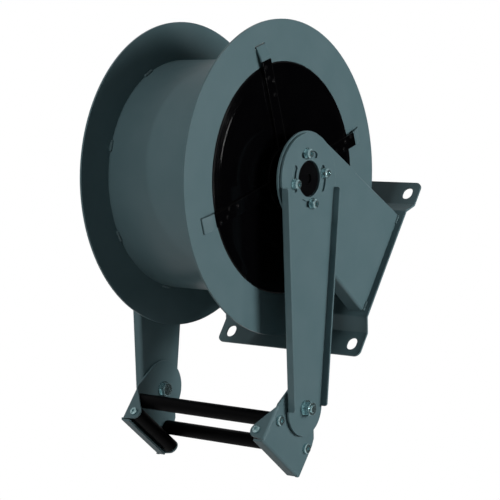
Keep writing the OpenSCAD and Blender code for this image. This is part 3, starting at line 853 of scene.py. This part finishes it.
@dataclass
class Drum:
    """Hose drum with its spring cover, spokes and straps; sizes in mm and degrees."""

    trees: Trees
    grey: tuple[str, ...] = (
        "barrel", "near_flange", "far_flange", "flange_welds", "spring_plate", "far_hub", "far_spider",
        "strap_1", "strap_2", "strap_3", "strap_4",
    )
    black: tuple[str, ...] = (
        "spring_cover", "near_hub", "spoke_1", "spoke_2", "spoke_3", "spoke_4", "spoke_rivets",
    )
    spoke_count: int = 4
    spoke_turn: float = 52.3
    spoke_top: float = 94.5
    # Distance from the axle along the spoke, and across it, of each rivet.
    rivets: tuple[tuple[float, float], ...] = ((125.0, -3.0), (145.0, -6.0), (152.0, 3.5), (168.0, 6.0))
    rivet_r: float = 3.4
    rivet_flatten: tuple[float, float, float] = (0.5, 1.0, 1.0)
    weld_r: float = 174.0
    weld_x: float = 92.1
    weld_count: int = 8
    weld_turn: float = 16.8
    weld_sweep: float = 4.5
    # Real weld ripples are finer; these are drawn as coarse as they need to show.
    bead_count: int = 8
    bead_r: float = 2.5
    bead_spread: float = 0.12
    bead_seed: int = 3

    def build(self) -> None:
        """Dresses the drum's solids, and sets its rivets and welds."""
        dress(self.grey, Finish.GREY)
        dress(self.black, Finish.BLACK)
        dress(("main_spring", "ratchet_wheel"), Finish.ZINC)
        dress(("hub_bushes", "swivel_body", "outlet_pipe", "hose_outlet"), Finish.BRASS)
        dress(("swivel_seals",), Finish.RUBBER)
        self.add_rivets()
        self.add_tack_welds()

    def at_spoke(self, number: int, radius: float, offset: float) -> Vector:
        """Finds a place on top of a spoke.

        Args:
            number: Spoke 0 to 3.
            radius: Distance from the axle along the spoke.
            offset: Distance across the spoke.

        Returns:
            The point, in metres.
        """
        turn = math.radians(self.spoke_turn + 360 / self.spoke_count * number)
        y = radius * math.cos(turn) - offset * math.sin(turn)
        z = radius * math.sin(turn) + offset * math.cos(turn)
        return Vector((self.spoke_top, y + HUB_Y, z)) * MM

    def add_rivets(self) -> None:
        """Domed rivet heads on the spokes, in place of the plain ones."""
        places = [self.at_spoke(k, *rivet) for k in range(self.spoke_count) for rivet in self.rivets]
        values = {
            "Radius": self.rivet_r * MM,
            "Flatten": self.rivet_flatten,
            "Material": Finish.BLACK.material,
        }
        piece = grown("spoke_rivet_heads", places, self.trees.domes, values)
        finished(piece, Body.DRUM, "spoke_rivets")

    def add_tack_welds(self) -> None:
        """Short rows of weld ripples in the corners between barrel and flanges."""
        places = []
        for x in (DRUM_MID + self.weld_x, DRUM_MID - self.weld_x):
            for weld in range(self.weld_count):
                for bead in range(self.bead_count):
                    sweep = self.weld_sweep * bead / (self.bead_count - 1)
                    turn = math.radians(360 / self.weld_count * weld + self.weld_turn + sweep)
                    y, z = self.weld_r * math.cos(turn), self.weld_r * math.sin(turn)
                    places.append(Vector((x, HUB_Y + y, z)) * MM)
        values = {
            "Radius": self.bead_r * MM,
            "Spread": self.bead_spread,
            "Seed": self.bead_seed,
            "Material": Finish.WELD.material,
        }
        piece = grown("flange_weld_beads", places, self.trees.domes, values)
        finished(piece, Body.DRUM, "flange_welds")


@dataclass
class Arms:
    """The two swinging channel arms and their pivot bolts, in mm; X from the drum's middle."""

    trees: Trees
    pivot: tuple[float, float] = (-74.1415, -278.838)
    head_seat: float = 129.0
    nut_seat: float = 142.5
    bolt_end: float = 155.0
    head: Hexagon = Hexagon(flats=19.0, height=7.5)
    nut: Hexagon = Hexagon(flats=19.0, height=10.5, bore=6.0)
    shank: Rod = Rod(radius=5.7)
    pitch: float = 1.75
    # The thread is drawn as a round ridge, a little proud so that it shows.
    ridge_r: float = 0.3
    ridge_stop: float = 1.0

    def build(self) -> None:
        """Dresses the arms, and makes their bolts and nuts anew with turned corners and threads."""
        dress(("near_arm", "far_arm"), Finish.GREY)
        dress(("pivot_washers",), Finish.ZINC)
        bolts, nuts = bmesh.new(), bmesh.new()
        for side in (1, -1):
            self.head.build(bolts, self.at(side, self.head_seat), -side)
            self.shank.build(bolts, self.at(side, self.head_seat), self.at(side, self.bolt_end).x)
            self.nut.build(nuts, self.at(side, self.nut_seat), side)
        for name, shape, old in (
            ("pivot_bolt_heads", bolts, "pivot_bolts"),
            ("pivot_hex_nuts", nuts, "pivot_nuts"),
        ):
            piece = mesh_piece(name, shape)
            piece.data.materials.append(Finish.ZINC.material)
            finished(piece, Body.ARMS, old)
        self.add_threads()

    def at(self, side: int, x: float) -> Vector:
        """Finds a place on the pivot's axis, x from the drum's middle on one side, in mm."""
        return Vector((DRUM_MID + side * x, *self.pivot))

    def add_threads(self) -> None:
        """Thread ridges wound on the bolt ends."""
        length = self.bolt_end - self.nut_seat - self.ridge_stop
        starts = [self.at(1, self.nut_seat) * MM, self.at(-1, self.nut_seat + length) * MM]
        values = {
            "Coil Radius": self.shank.radius * MM,
            "Wire Radius": self.ridge_r * MM,
            "Turns": length / self.pitch,
            "Length": length * MM,
            "Turn": (0.0, math.pi / 2, 0.0),
            "Material": Finish.ZINC.material,
        }
        finished(grown("pivot_bolt_threads", starts, self.trees.coil, values), Body.ARMS)


@dataclass
class Guide:
    """Roller brackets, rods and rollers, whose solids have their full shape already."""

    grey: tuple[str, ...] = ("near_bracket", "far_bracket")
    zinc: tuple[str, ...] = ("long_rods", "short_rods", "rod_screws", "tab_screws")
    nylon: tuple[str, ...] = (
        "front_long_roller", "rear_long_roller", "near_short_roller", "far_short_roller",
    )

    def build(self) -> None:
        """Dresses the roller guide's solids."""
        dress(self.grey, Finish.GREY)
        dress(self.zinc, Finish.ZINC)
        dress(self.nylon, Finish.NYLON)


@dataclass(frozen=True)
class Lamp:
    """One soft box, placed by the direction it shines from; sizes in metres."""

    name: str
    towards: tuple[float, float, float]
    watts: float
    size: float
    away: float = 2.6
    glossy: bool = True
    diffuse: bool = True
    tall: float | None = None

    def build(self, aim: Vector) -> None:
        """Makes the lamp.

        Args:
            aim: The point it shines at.
        """
        data = bpy.data.lights.new(self.name, "AREA")
        data.shape = "RECTANGLE"
        data.size = self.size
        data.size_y = self.tall or self.size
        data.energy = self.watts
        lamp = bpy.data.objects.new(self.name, data)
        side = Vector(self.towards).normalized()
        lamp.location = aim + side * self.away
        lamp.rotation_euler = side.to_track_quat("Z", "Y").to_euler()
        lamp.visible_glossy = self.glossy
        lamp.visible_diffuse = self.diffuse
        lamp.visible_camera = False
        bpy.context.scene.collection.objects.link(lamp)


@dataclass
class Studio:
    """Camera, lamps, floor and background.

    The large lamps light the surfaces but aren't mirrored by them. Dim cards and thin strips
    are what gloss mirrors, so that black and zinc stay dark beside their highlights.
    """

    eye: tuple[float, float, float] = (1.5715, -1.9801, -1.0490)
    right: tuple[float, float, float] = (0.7926, 0.5007, 0.3480)
    up: tuple[float, float, float] = (-0.0552, -0.5095, 0.8587)
    lens: float = 123.56
    sensor: float = 36.0
    sight: float = 50.0
    aim: tuple[float, float, float] = (0.0, -0.22, -0.08)
    floor_half: float = 8.0
    floor_z: float = -2.2
    floor_colour: str = "D8D8D8"
    floor_roughness: float = 0.9
    floor_specular: float = 0.1
    # How strongly the floor glows to the eye and in gloss, to come near the backdrop's white.
    floor_seen: float = 0.7
    floor_gloss: float = 0.3
    ambient: float = 0.035
    backdrop_gloss: float = 0.5
    # A dark screen stands towards the wall: cosines from this direction where it starts and is full.
    screen: tuple[float, float, float] = (0.607, 0.70, 0.376)
    screen_start: float = 0.55
    screen_full: float = 0.93
    lamps: tuple[Lamp, ...] = (
        Lamp("right_key", (0.965, 0.047, 0.255), 45.0, 0.8, glossy=False),
        Lamp("right_card", (0.965, 0.047, 0.255), 14.0, 1.4, diffuse=False),
        Lamp("right_rear_fill", (0.75, 0.62, 0.15), 5.0, 1.4, glossy=False),
        Lamp("rim_strip", (0.82, 0.41, 0.40), 2.5, 0.04, tall=0.3),
        Lamp("edge_strip", (0.99, 0.1, -0.04), 6.0, 0.1, tall=0.4),
        Lamp("front", (0.0, -0.99, 0.0), 21.0, 0.5, glossy=False),
        Lamp("left_front", (-0.74, -0.66, -0.11), 9.0, 0.12, glossy=False),
        Lamp("rear_left", (-0.66, 0.72, 0.1), 36.0, 1.2, glossy=False),
        Lamp("rear_card", (-0.66, 0.72, 0.1), 4.0, 1.4, diffuse=False),
        Lamp("top", (-0.1, 0.55, 0.83), 12.0, 1.2, glossy=False),
    )

    def build(self) -> None:
        """Makes the studio."""
        self.camera()
        for lamp in self.lamps:
            lamp.build(Vector(self.aim))
        self.floor()
        self.world()
        bpy.context.scene.view_settings.view_transform = "Standard"

    def camera(self) -> None:
        """Sets the camera that was solved from the photograph's perspective."""
        right, up = Vector(self.right).normalized(), Vector(self.up)
        back = right.cross(up).normalized()
        up = back.cross(right)
        data = bpy.data.cameras.new("camera")
        data.lens = self.lens
        data.sensor_width = self.sensor
        data.clip_end = self.sight
        camera = bpy.data.objects.new("camera", data)
        turn = Matrix((right, up, back)).transposed().to_4x4()
        camera.matrix_world = Matrix.Translation(Vector(self.eye)) @ turn
        bpy.context.scene.collection.objects.link(camera)
        bpy.context.scene.camera = camera

    def floor(self) -> None:
        """Lays a wide pale floor well below the reel, which hangs on a wall."""
        half, z = self.floor_half, self.floor_z
        mesh = bpy.data.meshes.new("studio_floor")
        corners = [(-half, -half, z), (half, -half, z), (half, half, z), (-half, half, z)]
        mesh.from_pydata(corners, [], [(0, 1, 2, 3)])
        floor = placed(mesh)
        floor.data.materials.append(self.floor_material())

    def floor_material(self) -> bpy.types.Material:
        """Makes the floor's matt paper, which is pale like the backdrop and still takes shadows.

        Returns:
            The floor's material.
        """
        paper = Surface("pale_studio_floor", self.floor_roughness, specular=self.floor_specular)
        tree, shader = paper.tree, paper.shader
        shader.inputs["Base Color"].default_value = linear(self.floor_colour)
        path = add(tree, "ShaderNodeLightPath").outputs
        rays = {0: path["Is Camera Ray"], 1: path["Is Transmission Ray"]}
        seen = add(tree, "ShaderNodeMath", rays, operation="MAXIMUM").outputs[0]
        mirrored = {0: path["Is Glossy Ray"], 1: self.floor_gloss}
        gloss = add(tree, "ShaderNodeMath", mirrored, operation="MULTIPLY").outputs[0]
        pale = add(tree, "ShaderNodeMath", {0: seen, 1: self.floor_seen}, operation="MULTIPLY").outputs[0]
        glow = add(tree, "ShaderNodeMath", {0: pale, 1: gloss}, operation="MAXIMUM").outputs[0]
        shader.inputs["Emission Color"].default_value = (1.0, 1.0, 1.0, 1.0)
        paper.feed("Emission Strength", glow)
        # From under the floor the reel is seen through it.
        under = add(tree, "ShaderNodeNewGeometry").outputs["Backfacing"]
        clear = add(tree, "ShaderNodeBsdfTransparent").outputs["BSDF"]
        both = add(tree, "ShaderNodeMixShader", {0: under, 1: shader.outputs["BSDF"], 2: clear})
        leave = next(node for node in tree.nodes if node.type == "OUTPUT_MATERIAL")
        tree.links.new(both.outputs["Shader"], leave.inputs["Surface"])
        return paper.material

    def world(self) -> None:
        """Makes the backdrop: white to the eye, a mid grey in gloss and a faint even light."""
        world = bpy.data.worlds.new("studio")
        world.use_nodes = True
        tree = world.node_tree
        tree.nodes.clear()
        path = add(tree, "ShaderNodeLightPath").outputs
        rays = {0: path["Is Camera Ray"], 1: path["Is Transmission Ray"]}
        seen = add(tree, "ShaderNodeMath", rays, operation="MAXIMUM").outputs[0]
        # Gloss sees the backdrop, but towards the wall a dark screen stands in the room.
        place = add(tree, "ShaderNodeTexCoord").outputs["Generated"]
        facing = add(tree, "ShaderNodeVectorMath", {0: place, 1: self.screen}, operation="DOT_PRODUCT")
        open_side = add(
            tree,
            "ShaderNodeMapRange",
            {
                "Value": facing.outputs["Value"],
                "From Min": self.screen_start,
                "From Max": self.screen_full,
                "To Min": self.backdrop_gloss,
                "To Max": 0.0,
            },
        ).outputs["Result"]
        mirrored = {0: path["Is Glossy Ray"], 1: open_side}
        gloss = add(tree, "ShaderNodeMath", mirrored, operation="MULTIPLY").outputs[0]
        white = add(tree, "ShaderNodeMath", {0: seen, 1: gloss}, operation="MAXIMUM").outputs[0]
        spread = {0: path["Is Diffuse Ray"], 1: self.ambient}
        dim = add(tree, "ShaderNodeMath", spread, operation="MULTIPLY").outputs[0]
        strength = add(tree, "ShaderNodeMath", {0: white, 1: dim}, operation="MAXIMUM").outputs[0]
        back = add(tree, "ShaderNodeBackground", {"Color": (1, 1, 1, 1), "Strength": strength})
        add(tree, "ShaderNodeOutputWorld", {"Surface": back.outputs[0]})
        bpy.context.scene.world = world


def main() -> None:
    """Builds the studio and dresses the reel, one sub-assembly after another."""
    logging.basicConfig(level=logging.INFO, format="%(message)s")
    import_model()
    Studio().build()
    trees = Trees()
    for part in (Base(trees), Drum(trees), Arms(trees), Guide()):
        part.build()
        LOG.info("%s done", type(part).__name__)


if __name__ == "__main__":
    main()
